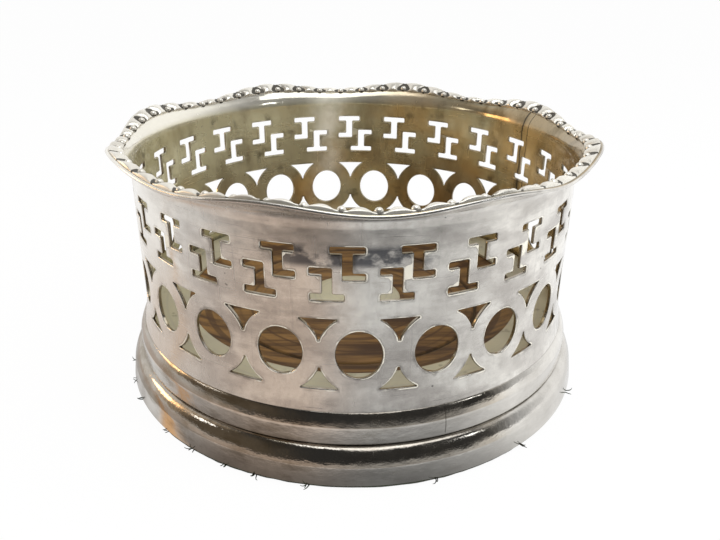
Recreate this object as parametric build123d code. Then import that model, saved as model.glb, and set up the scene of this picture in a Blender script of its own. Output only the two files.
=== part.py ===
from build123d import *
from math import atan2, cos, degrees, pi, radians, sin
import os

os.makedirs("parts", exist_ok=True)

# Wine bottle coaster. Millimetres and degrees. The origin is the centre of the underside, +Z is up,
# the front is towards -Y, and an angle round the coaster is counted from the front towards +X.

# Sheet metal and fits
sheet = 0.9                # thickness of the plated sheet
solder_gap = 0.15          # solder film between two curved faces
wood_clearance = 0.3       # room between the wooden base and the metal round it
stud_clearance = 0.2       # room round the stud of the boss
join_tolerance = 0.01      # how closely the rim's lower edge follows the round wall

# Pierced gallery
gallery_radius = 56.5      # outside of the upright wall
wall_height = 41.6         # lower edge of the wall to the start of the rim's flare
skirt_height = 5.2         # height of the slight flare at the lower edge
skirt_reach = 1.5          # how far the lower edge stands out from the wall

# Flared rim and its waves
rim_bend = 4.6             # radius of the flare
rim_turn = 85.0            # how far the sheet turns outwards
wave_count = 8
wave_rise = 1.2            # half of the height between crest and trough
wave_reach = 0.7           # half of the difference in reach between crest and trough
crest_angle = 28.0         # one of the crests

# Row of ovals with the three-cornered openings between them
oval_count = 21
oval_width = 9.9
oval_height = 11.2
oval_rise = 13.6           # lower edge of the wall to the middle of the row
oval_angle = 1.3           # one of the ovals
ring_width = 3.95          # metal between an oval and the corners beside it
corner_reach = 8.4         # middle of the row to the straight side of a corner opening
corner_tip = 3.3           # middle of the row to the tip of a corner opening

# Row of key openings, in pairs
key_count = 24
key_height = 7.15
key_bar = 7.0              # length of the full bar
key_serif = 3.6            # stem's middle to the end of the short bar
key_stem = 2.0             # width of the stem
key_stroke = 1.5           # height of the bars
key_rise = 18.5            # middle of the ovals to the middle of the key row
key_shift = 4.1            # sideways step between the two of a pair
key_drop = 4.6             # height step between the two of a pair
key_angle = -3.3           # middle of the first pair
key_drift = 2.33           # uneven hand spacing: crowding towards the front
key_lag = 1.5              # uneven hand spacing: lag towards the back

# Gadroon border, soldered on the flare in four pieces
border_pieces = 4
lobes_per_piece = 13
lobe_angle = 1.2           # middle of the lobe at the first joint
border_start = 52.0        # place on the flare's turn where the border begins
border_end = 83.0          # place on the flare's turn where the border ends
border_edge = 0.45         # thickness at the two edges of the border
border_crown = 0.75        # extra thickness in the middle
bead_radius = 0.68         # round bead between two lobes
bead_turn = 61.3           # place on the flare's turn where the beads stand
bead_height = 1.35         # underside of the border to the top of a bead
bead_sink = 0.1            # metal of the border left under a bead
hollow_radius = 1.2        # wide end of the hollow round a bead
hollow_tip = 0.25          # narrow end of the hollow
hollow_floor = 0.5         # underside of the border to the hollow, at its two ends

# Foot moulding
foot_height = 16.2         # lower edge of the foot to the seat of the gallery
collar_gap = 0.2           # room between the collar and the wall above it
collar_height = 1.5        # seat of the gallery to the top of the collar
upper_inset = 0.4          # groove under the lower edge of the gallery
upper_reach = 1.3          # reach of the upper shoulder
upper_drop = 3.7           # height of the upper shoulder
groove_depth = 0.6
step_height = 8.3          # lower edge of the foot to the groove between the steps
lower_reach = 3.3          # reach of the lower shoulder
lower_drop = 3.8           # height of the lower shoulder
foot_spread = 0.6          # slight spread of the lowest face
foot_lip = 3.0             # width of the edge turned in under the wood

# Floor: plated ring, turned wooden base, boss and baize
floor_ring_width = 9.7
dish_overlap = 0.6         # how far the ring stands over the hollowed wood
dish_width = 11.6
dish_depth = 3.6
dish_sag = 0.5             # how hollow the slope is
turned_groove = 1.2        # width of the turned groove
turned_groove_depth = 0.9
boss_diameter = 27.0
boss_edge = 0.5            # upright edge of the boss
boss_rise = 1.7            # height of the dome over its edge
stud_diameter = 4.0
washer_diameter = 13.0
washer_thickness = 0.8
nut_width = 8.0
nut_thickness = 2.8
stud_tail = 0.5            # stud beyond the nut
recess_room = 1.0          # room round the washer, and under the stud
baize_thickness = 1.2
baize_inset = 0.4          # foot's edge to the edge of the baize

# Levels and radii that follow
wall_inside = gallery_radius - sheet
foot_z = baize_thickness
seat_z = foot_z + foot_height
ledge_z = seat_z + collar_height
oval_z = seat_z + oval_rise
key_z = oval_z + key_rise
flare_z = seat_z + wall_height
skirt_radius = gallery_radius + skirt_reach
upper_start = skirt_radius - upper_inset
upper_radius = upper_start + upper_reach
groove_radius = upper_radius - groove_depth
groove_z = foot_z + step_height
lower_radius = groove_radius + lower_reach
lower_z = groove_z - lower_drop
foot_radius = lower_radius + foot_spread
collar_radius = wall_inside - collar_gap
ring_outside = wall_inside - solder_gap
ring_inside = ring_outside - floor_ring_width
dish_radius = ring_inside + dish_overlap
floor_radius = dish_radius - dish_width
floor_z = ledge_z - dish_depth


def save(part, name):
    """Write one piece of the coaster."""
    part.label = name
    export_step(part, f"parts/{name}.step")


def turned(*outline):
    """A piece turned about the upright axis from the outline of its half section."""
    section = make_face(Curve() + list(outline))
    return revolve(Plane.XZ * section, Axis.Z)


def section_plane(angle):
    """Upright plane through the axis: local X runs outwards, local Y runs up."""
    turn = radians(angle - 90)
    return Plane((0, 0, 0), x_dir=(cos(turn), sin(turn), 0), z_dir=(sin(turn), -cos(turn), 0))


def wall_plane(angle, radius, height):
    """Plane that faces outwards at a place on a wall: local X runs to the right, local Y runs up."""
    turn = radians(angle - 90)
    origin = (radius * cos(turn), radius * sin(turn), height)
    return Plane(origin, x_dir=(-sin(turn), cos(turn), 0), z_dir=(cos(turn), sin(turn), 0))


def bend_turn(reach, height):
    """Turn of an arc that starts upright and gains this reach over this height."""
    return 2 * atan2(reach, height)


def rim_point(angle, turn, offset):
    """Point of the waving rim, in its section plane, at an offset over the underside of the sheet."""
    share = (turn / rim_turn) ** 2
    wave = share * cos(radians(wave_count * (angle - crest_angle)))
    bend = radians(turn)
    reach = gallery_radius + rim_bend - (rim_bend + offset) * cos(bend)
    height = flare_z + (rim_bend + offset) * sin(bend)
    return (reach + wave_reach * wave, height + wave_rise * wave)


def waving_strip(first_angle, span, steps, start, end, lower, upper):
    """Solid strip of the rim between two turns: lower and upper give its offsets along its width."""
    shares = [step / 6 for step in range(7)]
    sections = []
    for step in range(steps + 1):
        angle = first_angle + span * step / steps
        under = [rim_point(angle, start + (end - start) * s, lower(s)) for s in shares]
        over = [rim_point(angle, start + (end - start) * s, upper(s)) for s in shares]
        edges = Spline(*under) + Line(under[-1], over[-1]) + Spline(*over) + Line(over[0], under[0])
        sections.append(section_plane(angle) * make_face(edges))
    return loft(sections)


def key_outline():
    """Upper opening of a key pair: full bar over a stem, with a short bar to the right below."""
    top = key_height / 2
    half_bar = key_bar / 2
    half_stem = key_stem / 2
    corners = [
        (-half_bar, top), (half_bar, top), (half_bar, top - key_stroke), (half_stem, top - key_stroke),
        (half_stem, key_stroke - top), (key_serif, key_stroke - top), (key_serif, -top), (-half_stem, -top),
        (-half_stem, top - key_stroke), (-half_bar, top - key_stroke),
    ]
    return make_face(Polyline(*corners, close=True))


def corner_outline():
    """Upper three-cornered opening between two ovals, with sides that follow their rings."""
    half_pitch = gallery_radius * sin(pi / oval_count)
    ring = Ellipse(oval_width / 2 + ring_width, oval_height / 2 + ring_width)
    height = corner_reach - corner_tip
    block = Pos(0, corner_tip + height / 2) * Rectangle(2 * half_pitch, height)
    return block - Pos(-half_pitch, 0) * ring - Pos(half_pitch, 0) * ring


def pierce(outline, angle, height):
    """Cutter of an outline that goes straight in through the wall."""
    depth = 6 * sheet
    return extrude(wall_plane(angle, gallery_radius - depth / 2, height) * outline, depth)


def key_place(index):
    """Angle of a key pair, with the uneven spacing of hand work."""
    turn = 360 * index / key_count
    swing = radians(turn)
    return key_angle + turn - key_drift * sin(swing) + key_lag * (1 - cos(swing))


def make_gallery():
    """Wall with its skirt and waving flared rim, pierced with two rows of openings."""
    turn = bend_turn(skirt_reach, skirt_height)
    bend = skirt_height / sin(turn)
    centre = gallery_radius + bend
    skirt_z = seat_z + skirt_height

    def skirt(radius, part):
        return (centre - radius * cos(turn * part), skirt_z - radius * sin(turn * part))

    inner_foot = (skirt(bend + sheet, 1)[0], seat_z)
    wall = turned(
        Polyline(skirt(bend, 0), (gallery_radius, flare_z), (wall_inside, flare_z), (wall_inside, skirt_z)),
        ThreePointArc((wall_inside, skirt_z), skirt(bend + sheet, 0.45), inner_foot),
        Line(inner_foot, skirt(bend, 1)),
        ThreePointArc(skirt(bend, 1), skirt(bend, 0.5), skirt(bend, 0)),
    )
    wave_span = 360 / wave_count
    wave = waving_strip(crest_angle, wave_span, 6, 0, rim_turn, lambda s: 0, lambda s: sheet)
    rim = [(Rot(0, 0, wave_span * index) * wave).solid() for index in range(wave_count)]
    shell = wall.solid().fuse(*rim, tol=join_tolerance)
    ovals = [
        pierce(Ellipse(oval_width / 2, oval_height / 2), oval_angle + 360 * index / oval_count, oval_z)
        for index in range(oval_count)
    ]
    corner = corner_outline()
    corners = [
        pierce(side * corner, oval_angle + 360 * (index + 0.5) / oval_count, oval_z)
        for index in range(oval_count)
        for side in (Rot(0, 0, 0), Rot(0, 0, 180))
    ]
    key = key_outline()
    step = degrees(key_shift / gallery_radius) / 2
    uppers = [pierce(key, key_place(i) + step, key_z + key_drop / 2) for i in range(key_count)]
    lowers = [
        pierce(Rot(0, 0, 180) * key, key_place(i) - step, key_z - key_drop / 2) for i in range(key_count)
    ]
    return shell - (ovals + corners + uppers + lowers)


def make_bead():
    """Bead with a round top on a short straight stem."""
    height = bead_height - bead_sink
    shoulder = height - bead_radius
    return turned(
        Polyline((0, height), (0, 0), (bead_radius, 0), (bead_radius, shoulder)),
        CenterArc((0, shoulder), bead_radius, 0, 90),
    )


def make_border():
    """One piece of the border: a crowned strip with hollows, and a bead in each hollow."""
    span = 360 / border_pieces
    base = sheet + solder_gap
    floor = base + hollow_floor
    strip = waving_strip(
        lobe_angle, span, 12, border_start, border_end,
        lambda s: base,
        lambda s: base + border_edge + border_crown * sin(pi * s),
    )
    bead = make_bead()
    hollows = []
    beads = []
    for index in range(lobes_per_piece):
        angle = lobe_angle + span * (index + 0.5) / lobes_per_piece
        plane = section_plane(angle)
        inner = plane.from_local_coords(rim_point(angle, border_start, floor + hollow_radius))
        outer = plane.from_local_coords(rim_point(angle, border_end, floor + hollow_tip))
        seat = plane.from_local_coords(rim_point(angle, bead_turn, base + bead_sink))
        crown = plane.from_local_coords(rim_point(angle, bead_turn, base + bead_height))
        hollow = Cone(
            hollow_radius, hollow_tip, (outer - inner).length, align=(Align.CENTER, Align.CENTER, Align.MIN)
        )
        hollows.append(Plane(inner, x_dir=crown - seat, z_dir=outer - inner) * hollow)
        beads.append(Plane(seat, x_dir=outer - inner, z_dir=crown - seat) * bead)
    return strip - hollows + beads


def make_foot():
    """Stepped moulding of sheet, with a collar inside the gallery and an edge turned in under the wood."""
    lip_radius = foot_radius - foot_lip
    neck = groove_radius - sheet
    upper_z = seat_z - upper_drop
    return turned(
        Polyline((collar_radius, ledge_z), (collar_radius, seat_z), (upper_start, seat_z)),
        EllipticalCenterArc((upper_start, upper_z), upper_reach, upper_drop, arc_size=90),
        Polyline(
            (upper_radius, upper_z), (upper_radius, groove_z + groove_depth), (groove_radius, groove_z)
        ),
        EllipticalCenterArc((groove_radius, lower_z), lower_reach, lower_drop, arc_size=90),
        Polyline(
            (lower_radius, lower_z), (foot_radius, foot_z), (lip_radius, foot_z),
            (lip_radius, foot_z + sheet), (foot_radius - sheet, foot_z + sheet),
            (lower_radius - sheet, lower_z),
        ),
        EllipticalCenterArc((groove_radius, lower_z), lower_reach - sheet, lower_drop - sheet, arc_size=90),
        Polyline(
            (groove_radius, groove_z - sheet), (neck, groove_z - sheet), (neck, seat_z - sheet),
            (collar_radius - sheet, seat_z - sheet), (collar_radius - sheet, ledge_z),
            (collar_radius, ledge_z),
        ),
    )


def make_floor_ring():
    """Flat plated ring between the wall and the hollowed wood."""
    return turned(
        Polyline(
            (ring_inside, ledge_z), (ring_outside, ledge_z), (ring_outside, ledge_z + sheet),
            (ring_inside, ledge_z + sheet), close=True,
        )
    )


washer_top = foot_z + recess_room + stud_tail + nut_thickness + washer_thickness
stud_hole = stud_diameter / 2 + stud_clearance


def make_base():
    """Turned wooden base: hollowed on top, stepped at its edge, with a recess under the boss."""
    recess_radius = washer_diameter / 2 + recess_room
    core_radius = foot_radius - foot_lip - wood_clearance
    flange_radius = lower_radius - sheet - wood_clearance
    flange_top = lower_z - wood_clearance
    upper = collar_radius - sheet - wood_clearance
    half_groove = turned_groove / 2
    slope = ((floor_radius + half_groove + dish_radius) / 2 + dish_sag, (floor_z + ledge_z) / 2 - dish_sag)
    return turned(
        Polyline(
            (stud_hole, washer_top), (recess_radius, washer_top), (recess_radius, foot_z),
            (core_radius, foot_z), (core_radius, foot_z + sheet), (flange_radius, foot_z + sheet),
            (flange_radius, flange_top), (upper, flange_top), (upper, ledge_z), (dish_radius, ledge_z),
        ),
        ThreePointArc((dish_radius, ledge_z), slope, (floor_radius + half_groove, floor_z)),
        Polyline(
            (floor_radius + half_groove, floor_z), (floor_radius, floor_z - turned_groove_depth),
            (floor_radius - half_groove, floor_z), (stud_hole, floor_z), (stud_hole, washer_top),
        ),
    )


def make_boss():
    """Low domed boss with the stud that holds it."""
    radius = boss_diameter / 2
    edge_z = floor_z + boss_edge
    tail_z = foot_z + recess_room
    half_way = (radius * sin(pi / 4), edge_z + boss_rise * cos(pi / 4))
    stud = stud_diameter / 2
    return turned(
        Polyline((0, edge_z + boss_rise), (0, tail_z), (stud, tail_z)),
        Polyline((stud, tail_z), (stud, floor_z), (radius, floor_z), (radius, edge_z)),
        Spline(
            (radius, edge_z), half_way, (0, edge_z + boss_rise),
            tangents=[(0, 1), (-1, 0)],
        ),
    )


def make_washer():
    """Washer under the roof of the recess."""
    washer = Cylinder(washer_diameter / 2, washer_thickness) - Cylinder(stud_hole, washer_thickness)
    return Pos(0, 0, washer_top - washer_thickness / 2) * washer


def make_nut():
    """Square nut on the stud."""
    nut = Box(nut_width, nut_width, nut_thickness) - Cylinder(stud_hole, nut_thickness)
    return Pos(0, 0, washer_top - washer_thickness - nut_thickness / 2) * nut


def make_baize():
    """Baize glued under the wood and the foot's turned edge."""
    return Pos(0, 0, baize_thickness / 2) * Cylinder(foot_radius - baize_inset, baize_thickness)


save(make_gallery(), "pierced_gallery")
border = make_border()
for number in range(border_pieces):
    save(Rot(0, 0, 360 * number / border_pieces) * border, f"gadroon_border_{number + 1}")
save(make_foot(), "foot_moulding")
save(make_floor_ring(), "floor_ring")
save(make_base(), "wooden_base")
save(make_boss(), "centre_boss")
save(make_washer(), "boss_washer")
save(make_nut(), "boss_nut")
save(make_baize(), "baize_pad")
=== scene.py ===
import math

import bpy
import numpy as np
from mathutils import Matrix, Vector
from mathutils.geometry import delaunay_2d_cdt


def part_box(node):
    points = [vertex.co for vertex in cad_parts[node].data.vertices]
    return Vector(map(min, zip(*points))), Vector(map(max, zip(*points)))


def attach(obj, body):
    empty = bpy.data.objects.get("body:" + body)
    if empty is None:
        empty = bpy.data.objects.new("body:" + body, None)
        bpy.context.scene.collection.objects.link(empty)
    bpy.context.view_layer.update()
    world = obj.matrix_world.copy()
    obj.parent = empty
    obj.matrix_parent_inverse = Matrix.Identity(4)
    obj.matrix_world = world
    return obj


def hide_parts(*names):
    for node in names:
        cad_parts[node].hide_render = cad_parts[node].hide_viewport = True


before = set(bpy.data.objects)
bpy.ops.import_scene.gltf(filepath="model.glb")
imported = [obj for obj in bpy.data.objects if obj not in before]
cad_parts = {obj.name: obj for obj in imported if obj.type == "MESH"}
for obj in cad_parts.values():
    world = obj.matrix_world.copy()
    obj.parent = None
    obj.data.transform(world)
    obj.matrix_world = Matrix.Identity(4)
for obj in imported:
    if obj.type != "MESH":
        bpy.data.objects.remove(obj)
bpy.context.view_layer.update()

bl_info = {
    "name": "Wine Bottle Coaster",
    "version": (1, 0, 0),
    "blender": (4, 5, 0),
    "location": "View3D > Sidebar > Coaster",
    "description": "Builds the visible pieces of a pierced silver plate coaster over its packed solids",
    "category": "Object",
}

MM = 0.001
WHITE = (1.0, 1.0, 1.0)
STRAIGHT = -0.94  # cosine between the two sides of a corner, under which it is left as it is
PROBE = 2e-5  # step along the sheet that gives its slopes, in metres
TINY = 1e-12  # least size of a number that others are divided by
OUTLINE_STEP = 0.8 * MM  # longest side of an opening's outline
ON_EDGE = 1e-7  # distance within which a point of the plan is on its edge, in metres
SMUDGE_HEIGHT = 0.0533  # middle of the row of dark smudges, in metres
INNER_SEAMS = ((116.5, 0.00042), (114.0, 0.00022))  # angles in degrees and widths in metres


def length(name, millimetres, description):
    """Property for a size, written in millimetres and kept in metres."""
    return bpy.props.FloatProperty(
        name=name, description=description, default=millimetres * MM, unit="LENGTH", precision=5
    )


def turn(name, degrees, description):
    """Property for an angle, written in degrees and kept in radians."""
    return bpy.props.FloatProperty(
        name=name, description=description, default=math.radians(degrees), subtype="ANGLE"
    )


def count(name, value, description):
    """Property for a number of repeats."""
    return bpy.props.IntProperty(name=name, description=description, default=value, min=1)


def light_level(name, value, description):
    """Property for a light level as a share of white."""
    return bpy.props.FloatProperty(
        name=name, description=description, default=value, min=0.0, max=1.0, subtype="FACTOR"
    )


def lamp_power(name, watts, description):
    """Property for the power of a lamp."""
    return bpy.props.FloatProperty(name=name, description=description, default=watts, min=0.0, unit="POWER")


def colour(name, value, description):
    """Property for a linear colour."""
    return bpy.props.FloatVectorProperty(
        name=name, description=description, default=value, size=3, subtype="COLOR", min=0.0, max=1.0
    )


class CoasterGallery(bpy.types.PropertyGroup):
    """Sizes of the pierced wall, its skirt and its waving rim"""

    sheet: length("Sheet", 0.9, "Thickness of the plated sheet")
    radius: length("Radius", 56.5, "Outside of the upright wall")
    wall: length("Wall", 41.6, "Lower edge of the wall to the start of the flare")
    skirt: length("Skirt", 9.0, "Height of the slight flare at the lower edge")
    skirt_reach: length("Skirt Reach", 1.1, "How far the lower edge stands out")
    bend: length("Rim Bend", 4.6, "Radius of the flared rim")
    bend_turn: turn("Rim Turn", 85.0, "How far the rim turns outwards")
    waves: count("Waves", 8, "Waves round the rim")
    wave_rise: length("Wave Rise", 1.2, "Half of the height from crest to trough")
    wave_reach: length("Wave Reach", 0.7, "Half of the difference in reach from crest to trough")
    crest: turn("Crest", 28.0, "Angle of one of the crests")
    ovals: count("Ovals", 21, "Ovals round the wall")
    oval_width: length("Oval Width", 9.9, "Width of an oval")
    oval_height: length("Oval Height", 11.2, "Height of an oval")
    oval_rise: length("Oval Rise", 13.6, "Lower edge of the wall to the middle of the ovals")
    oval_angle: turn("Oval Angle", 1.3, "Angle of one of the ovals")
    ring: length("Ring", 3.95, "Metal between an oval and the corner openings")
    corner_reach: length("Corner Reach", 8.4, "Middle of the ovals to a corner opening's straight side")
    corner_tip: length("Corner Tip", 3.3, "Middle of the ovals to a corner opening's tip")
    keys: count("Keys", 24, "Pairs of key openings")
    key_height: length("Key Height", 7.15, "Height of one key opening")
    key_bar: length("Key Bar", 7.0, "Length of the full bar")
    key_serif: length("Key Serif", 3.6, "Stem's middle to the end of the short bar")
    key_stem: length("Key Stem", 2.0, "Width of the stem")
    key_stroke: length("Key Stroke", 1.5, "Height of the bars")
    key_rise: length("Key Rise", 18.5, "Middle of the ovals to the middle of the keys")
    key_shift: length("Key Shift", 4.1, "Sideways step in a pair")
    key_drop: length("Key Drop", 4.6, "Height step in a pair")
    key_angle: turn("Key Angle", -3.3, "Angle of the first pair")
    key_drift: turn("Key Drift", 2.33, "Crowding of the keys towards the front")
    key_lag: turn("Key Lag", 1.5, "Lag of the keys towards the back")
    edge: length("Worn Edge", 0.22, "Rounding of the pierced edges")
    dent: length("Dents", 0.05, "Height of the slow hammered unevenness")
    cell: length("Mesh Step", 1.25, "Spacing of the mesh on the sheet")


class CoasterBorder(bpy.types.PropertyGroup):
    """Sizes of the gadroon border on the rim"""

    pieces: count("Pieces", 4, "Pieces that the border is soldered on in")
    lobes: count("Lobes", 13, "Lobes in one piece")
    lobe_angle: turn("Lobe Angle", 1.2, "Middle of the lobe at the first joint")
    start: turn("Start", 52.0, "Turn of the flare where the border begins")
    end: turn("End", 83.0, "Turn of the flare where the border ends")
    gap: length("Solder Film", 0.03, "Solder film under the border")
    edge: length("Edge", 0.34, "Thickness in the hollows and at the edges")
    crown: length("Crown", 0.65, "Extra thickness in the middle of a lobe")
    bead: length("Bead", 0.95, "Radius of a bead")
    bead_turn: turn("Bead Turn", 60.0, "Turn of the flare where the beads stand")
    bead_lift: length("Bead Lift", 0.08, "Underside of the border to the middle of a bead")
    hollow: length("Hollow", 2.0, "Half width of a hollow at its widest")
    hollow_tip: length("Hollow End", 1.0, "Half width of a hollow at its outer end")


class CoasterFoot(bpy.types.PropertyGroup):
    """Sizes of the stepped foot"""

    sheet: length("Sheet", 0.9, "Thickness of the plated sheet")
    height: length("Height", 16.2, "Lower edge of the foot to the seat of the gallery")
    collar_radius: length("Collar Radius", 55.4, "Outside of the collar inside the gallery")
    collar: length("Collar", 1.5, "Seat of the gallery to the top of the collar")
    upper_start: length("Upper Start", 57.2, "Radius where the upper shoulder begins")
    upper_reach: length("Upper Reach", 1.9, "Reach of the upper shoulder")
    upper_drop: length("Upper Drop", 3.3, "Height of the upper shoulder")
    upper_part: turn("Upper Part", 30.0, "Part of a quarter round in the upper shoulder")
    groove: length("Groove", 0.6, "Depth of the groove between the steps")
    step: length("Step", 8.3, "Lower edge of the foot to the groove")
    lower_reach: length("Lower Reach", 3.1, "Reach of the lower shoulder")
    lower_drop: length("Lower Drop", 3.8, "Height of the lower shoulder")
    lower_part: turn("Lower Part", 60.0, "Part of a quarter round in the lower shoulder")
    spread: length("Spread", 0.6, "How far the foot spreads below the shoulder")
    lip: length("Lip", 3.0, "Width of the edge turned in under the wood")
    worn: length("Worn Edge", 0.3, "Rounding of the corners")
    seam: turn("Seam", 20.3, "Angle of the solder seam")


class CoasterFloor(bpy.types.PropertyGroup):
    """Sizes of the plated ring, the turned wooden base and the boss"""

    clearance: length("Clearance", 0.3, "Room between the wood and the metal round it")
    dish_radius: length("Dish Radius", 46.35, "Radius where the hollow of the wood begins")
    floor_radius: length("Floor Radius", 34.75, "Radius of the level middle of the wood")
    dish_depth: length("Dish Depth", 3.6, "Depth of the hollow")
    dish_sag: length("Dish Sag", 0.5, "How far the slope of the hollow sags")
    groove: length("Groove", 1.2, "Width of the turned groove")
    groove_depth: length("Groove Depth", 0.9, "Depth of the turned groove")
    boss_edge: length("Boss Edge", 0.5, "Height of the edge of the boss")
    stud: length("Stud", 4.0, "Diameter of the stud under the boss")
    stud_room: length("Stud Room", 0.2, "Room round the stud")
    washer: length("Washer", 13.0, "Diameter of the washer in the recess")
    recess: length("Recess Room", 1.0, "Room round the washer and under the stud")


class CoasterBaize(bpy.types.PropertyGroup):
    """Sizes of the baize underside"""

    fibre: length("Fibre", 0.42, "Thickness of a strand of loose fibres")
    reach: length("Reach", 2.1, "Longest reach of a strand past the foot")
    strands: count("Strands", 3, "Strands in one tuft")
    front: bpy.props.FloatVectorProperty(
        name="Front Tufts", description="Angles of the tufts at the front", size=11, unit="ROTATION",
        default=tuple(map(math.radians, (-80, -71, -62, -47, -37, -28, -21, -9, 18, 41, 66))),
    )
    back: count("Back Tufts", 9, "Tufts at the back, strewn evenly but not regularly")


class CoasterFinish(bpy.types.PropertyGroup):
    """Colours of the finishes"""

    # Also mixed in as painted light: towards the left on the gallery and towards the right on the foot.
    silver: colour("Silver", (0.89, 0.865, 0.81), "Old silver plate")
    silver_dull: colour("Dull Silver", (0.40, 0.37, 0.345), "Smudged silver plate")
    grime: colour("Grime", (0.30, 0.275, 0.25), "Thin dirt on the silver")
    # Also the colour of painted highlights: on the flare inside, in the band at the back of the inside, and
    # as glints on the worn edges.
    bright: colour("Bright Edge", (0.90, 0.86, 0.74), "Bright plate of border, pale flare and worn edges")
    # On the foot it paints the dark reflections in the middle of the shoulders.
    bruise: colour("Dark Smudge", (0.055, 0.06, 0.075), "Blue-black smudges on the wall and the foot")
    olive: colour("Olive Tarnish", (0.60, 0.56, 0.36), "Tarnish inside the wall")
    # On the foot it edges the painted dark reflections on the shoulders.
    amber: colour("Amber Tarnish", (0.62, 0.43, 0.18), "Warm tarnish inside the wall and on the foot")
    # On the cut walls of the openings it is tarnish and painted shade.
    soot: colour("Brown Tarnish", (0.20, 0.15, 0.075), "Dark tarnish inside, on cut edges and on the foot")
    # It also paints shade: with dirt in the foot's groove and seat and round the openings, and under the
    # beads.
    patina: colour("Patina", (0.045, 0.038, 0.026), "Dirt in hollows, seams, pits and scratches")
    ring: colour("Floor Ring", (0.45, 0.41, 0.28), "Dull plate of the floor ring")
    boss: colour("Boss", (0.56, 0.52, 0.36), "Dull plate of the boss")
    wood: colour("Wood", (0.20, 0.108, 0.035), "Lighter grain of the wood")
    wood_dark: colour("Dark Wood", (0.050, 0.025, 0.011), "Darker grain of the wood")
    brass: colour("Brass", (0.55, 0.38, 0.13), "Washer and nut")
    baize: colour("Baize", (0.030, 0.058, 0.020), "Felt of the underside")
    fibre: colour("Fibre", (0.026, 0.026, 0.011), "Loose fibres")


class CoasterStage(bpy.types.PropertyGroup):
    """Camera and lights"""

    camera: bpy.props.FloatVectorProperty(
        name="Camera", description="Place of the camera", default=(0.0, -0.1812, 0.1091), unit="LENGTH"
    )
    lens: bpy.props.FloatProperty(
        name="Lens", description="Focal length in millimetres", default=35.2, unit="CAMERA"
    )
    tilt: turn("Tilt", 25.09, "How far the camera looks down")
    pan: turn("Pan", 0.59, "How far the camera looks to the right")
    roll: turn("Roll", 0.60, "How far the camera leans")
    key: lamp_power("Key", 1.3, "Power of the large soft light on the right")
    top: lamp_power("Top", 0.55, "Power of the wide soft light overhead")
    warm: lamp_power("Warm", 0.16, "Power of the small warm light on the left")
    window: lamp_power("Window", 0.030, "Power of the small bright panes that glint on the foot")
    sky: light_level("Sky", 0.60, "Level of the light from all round")
    room: light_level("Room", 0.045, "Level of the dark room behind the camera, which the metal mirrors")
    card: light_level("Card", 0.60, "Level of the grey card before the coaster, which the metal mirrors")
    shade: light_level("Shade", 0.30, "Level of the grey card close round the foot, which the metal mirrors")


def polar(angle, radius, height):
    """Points at an angle round the coaster, counted from the front (-Y) towards +X."""
    angle, radius, height = np.broadcast_arrays(angle, radius, height)
    return np.stack([radius * np.sin(angle), -radius * np.cos(angle), height], axis=-1)


def all_round(steps):
    """Angles in even steps round the axis."""
    return np.linspace(0.0, math.tau, steps, endpoint=False)


def smooth_step(low, high, value):
    """0 below low, 1 above high, and a smooth rise between them."""
    share = np.clip((value - low) / (high - low), 0.0, 1.0)
    return share * share * (3.0 - 2.0 * share)


def make_mesh(name, points, triangles=(), quads=(), normals=None, marks=None):
    """Object from arrays of points and faces, with its own normals and its own numbers for the finish."""
    triangles = np.reshape(np.asarray(triangles, dtype=np.int32), (-1, 3))
    quads = np.reshape(np.asarray(quads, dtype=np.int32), (-1, 4))
    corners = np.concatenate([triangles.ravel(), quads.ravel()])
    sizes = np.concatenate([np.full(len(triangles), 3), np.full(len(quads), 4)])
    starts = np.concatenate([[0], np.cumsum(sizes)[:-1]]).astype(np.int32)
    mesh = bpy.data.meshes.new(name)
    mesh.vertices.add(len(points))
    mesh.vertices.foreach_set("co", np.asarray(points, dtype=np.float32).ravel())
    mesh.loops.add(len(corners))
    mesh.loops.foreach_set("vertex_index", corners)
    mesh.polygons.add(len(sizes))
    mesh.polygons.foreach_set("loop_start", starts)
    mesh.update(calc_edges=True)
    mesh.shade_smooth()
    for mark, values in (marks or {}).items():
        layer = mesh.attributes.new(mark, "FLOAT", "POINT")
        layer.data.foreach_set("value", np.asarray(values, dtype=np.float32))
    if normals is not None:
        mesh.normals_split_custom_set_from_vertices(normals.tolist())
    piece = bpy.data.objects.new(name, mesh)
    bpy.context.scene.collection.objects.link(piece)
    return piece


def settle(piece, slot, material, *nodes):
    """Dresses a piece, and lets it ride on the coaster in place of its CAD nodes."""
    piece.data.materials.append(material)
    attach(piece, "root")
    if nodes:
        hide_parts(*nodes)
    return piece


def rounded(profile, radius):
    """Closed profile whose sharp corners are cut by short curves that touch both sides.

    A curve is an arc of a parabola between points on the two sides, drawn towards the corner."""
    back = np.roll(profile, 1, axis=0) - profile
    ahead = np.roll(profile, -1, axis=0) - profile
    back_length = np.linalg.norm(back, axis=1)
    ahead_length = np.linalg.norm(ahead, axis=1)
    back /= back_length[:, None]
    ahead /= ahead_length[:, None]
    sharp = np.sum(back * ahead, axis=1) > STRAIGHT
    room = 0.45 * np.minimum(back_length, ahead_length)
    cut = np.where(sharp, np.minimum(radius, room), 0.0)[:, None]
    share = np.linspace(0.0, 1.0, 6)[None, :, None]
    start = (profile + back * cut)[:, None]
    finish = (profile + ahead * cut)[:, None]
    curve = start * (1 - share) ** 2 + profile[:, None] * 2 * share * (1 - share) + finish * share**2
    return np.concatenate([curve[i] if sharp[i] else profile[i : i + 1] for i in range(len(profile))])


def filled(profile, step):
    """Closed profile with points added on its long sides, so that none is longer than the step."""
    sides = np.roll(profile, -1, axis=0) - profile
    pieces = np.maximum(1, np.ceil(np.linalg.norm(sides, axis=1) / step).astype(int))
    shares = [profile[i] + sides[i] * np.arange(n)[:, None] / n for i, n in enumerate(pieces)]
    return np.concatenate(shares)


def facing(profile):
    """Closed profile in the order that makes its faces point out of the solid."""
    after = np.roll(profile, -1, axis=0)
    area = np.sum(profile[:, 0] * after[:, 1] - after[:, 0] * profile[:, 1])
    return profile if area > 0 else profile[::-1]


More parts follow.
